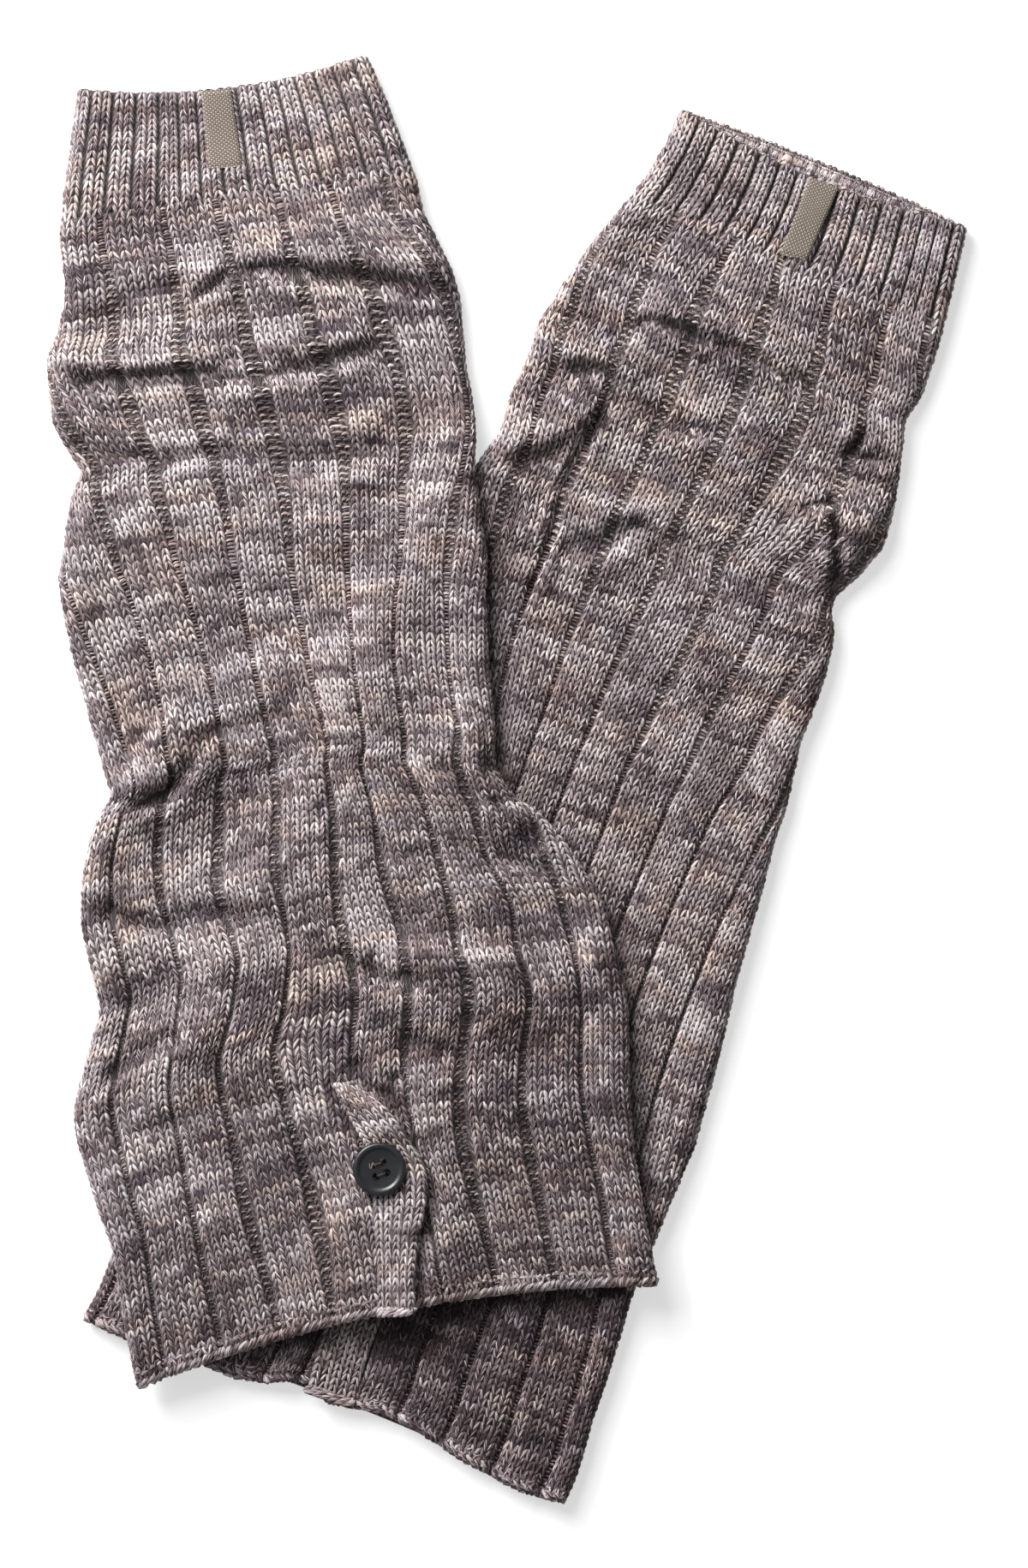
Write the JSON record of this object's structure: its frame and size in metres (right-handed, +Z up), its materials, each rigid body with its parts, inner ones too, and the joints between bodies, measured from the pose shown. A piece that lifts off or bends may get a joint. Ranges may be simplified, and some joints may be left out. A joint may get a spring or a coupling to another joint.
{
  "type": "leg warmers",
  "caption": "Pair of knitted leg warmers laid flat and overlapping, each a ribbed tube with a narrow ribbed cuff, a buttoned hem flap and a blank label tape.",
  "frame": {"origin": "middle of the pair's outline, on the surface that it lies on", "axes": "+Y from hems to cuffs, +X to the right seen from above with the cuffs away from the viewer, +Z up from the surface"},
  "size_m": [0.3222, 0.5064, 0.0224],
  "materials": {
    "cuff_rib": "marled knit",
    "leg_knit": "marled knit",
    "placket_knit": "marled knit",
    "label_tape": "woven tape",
    "button_resin": "satin"
  },
  "bodies": {
    "root": {"left_cuff": "cuff_rib", "left_leg": "leg_knit", "left_placket": "placket_knit", "left_label": "label_tape", "left_button": "button_resin", "right_cuff": "cuff_rib", "right_leg": "leg_knit", "right_placket": "placket_knit", "right_label": "label_tape", "right_button": "button_resin"}
  },
  "joints": []
}
